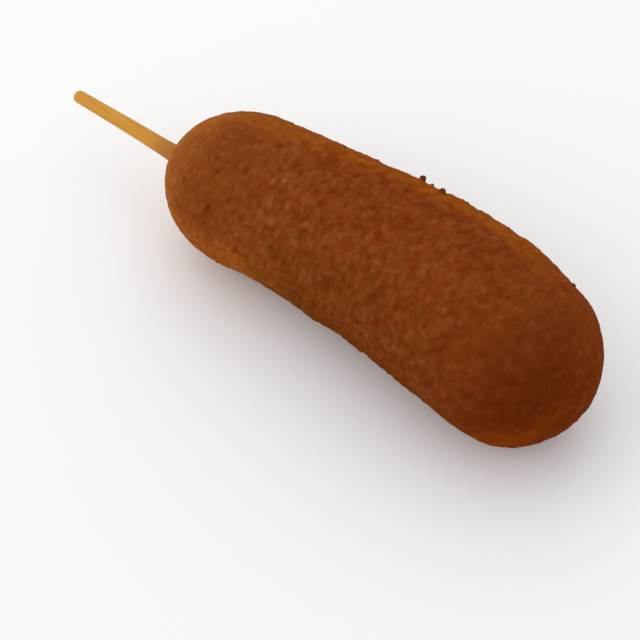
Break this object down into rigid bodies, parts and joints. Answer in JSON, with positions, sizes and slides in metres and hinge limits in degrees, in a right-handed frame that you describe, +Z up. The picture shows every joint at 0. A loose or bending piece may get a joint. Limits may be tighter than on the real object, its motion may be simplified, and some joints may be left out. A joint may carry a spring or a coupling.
{
  "type": "corn dog",
  "caption": "Fried, battered sausage on a round wooden stick, lying on its side.",
  "frame": {"origin": "middle of the whole thing's box, on the surface it lies on", "axes": "+X along the body away from the stick, +Y towards the outer side of its slight bend, +Z up"},
  "size_m": [0.1688, 0.0482, 0.0453],
  "materials": {
    "crust": "deep-fried brown crust, fine grained and matte",
    "stick_wood": "bare pale wood, unvarnished",
    "crumbs": "dark fried crumbs"
  },
  "bodies": {
    "root": {"battered_body": "crust", "stick": "stick_wood"}
  },
  "joints": []
}
